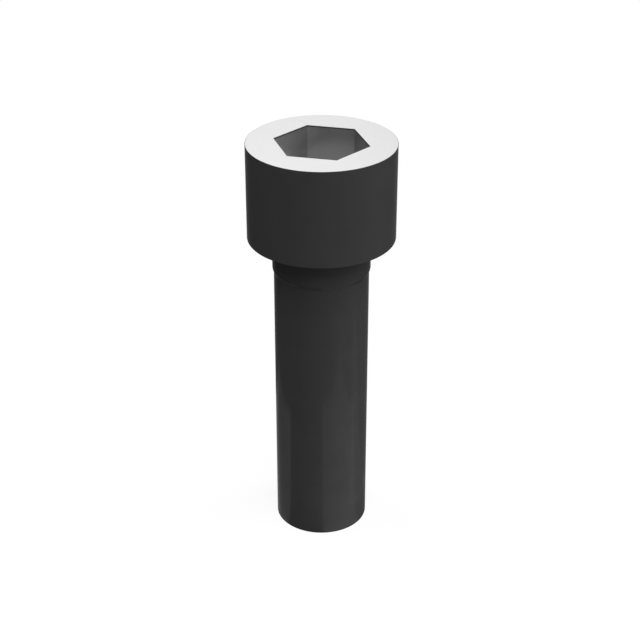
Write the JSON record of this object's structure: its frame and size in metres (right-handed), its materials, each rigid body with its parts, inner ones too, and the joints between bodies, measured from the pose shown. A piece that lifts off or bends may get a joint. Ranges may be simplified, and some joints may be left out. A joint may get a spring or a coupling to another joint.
{
  "type": "socket head bolt",
  "caption": "Cylindrical-head bolt with a hexagon socket, a plain neck and a round shank, tightened with a hexagon key and at home in a counterbore.",
  "frame": {"origin": "centre of the head's underside, the face that bears on the work", "axes": "+Z along the bolt's axis, from the shank up through the head; two corners of the hexagon socket lie on the X axis"},
  "size_m": [0.018, 0.018, 0.052],
  "materials": {
    "black_finished_steel": "satin"
  },
  "bodies": {
    "root": {"socket_head_bolt": "black_finished_steel"}
  },
  "joints": []
}
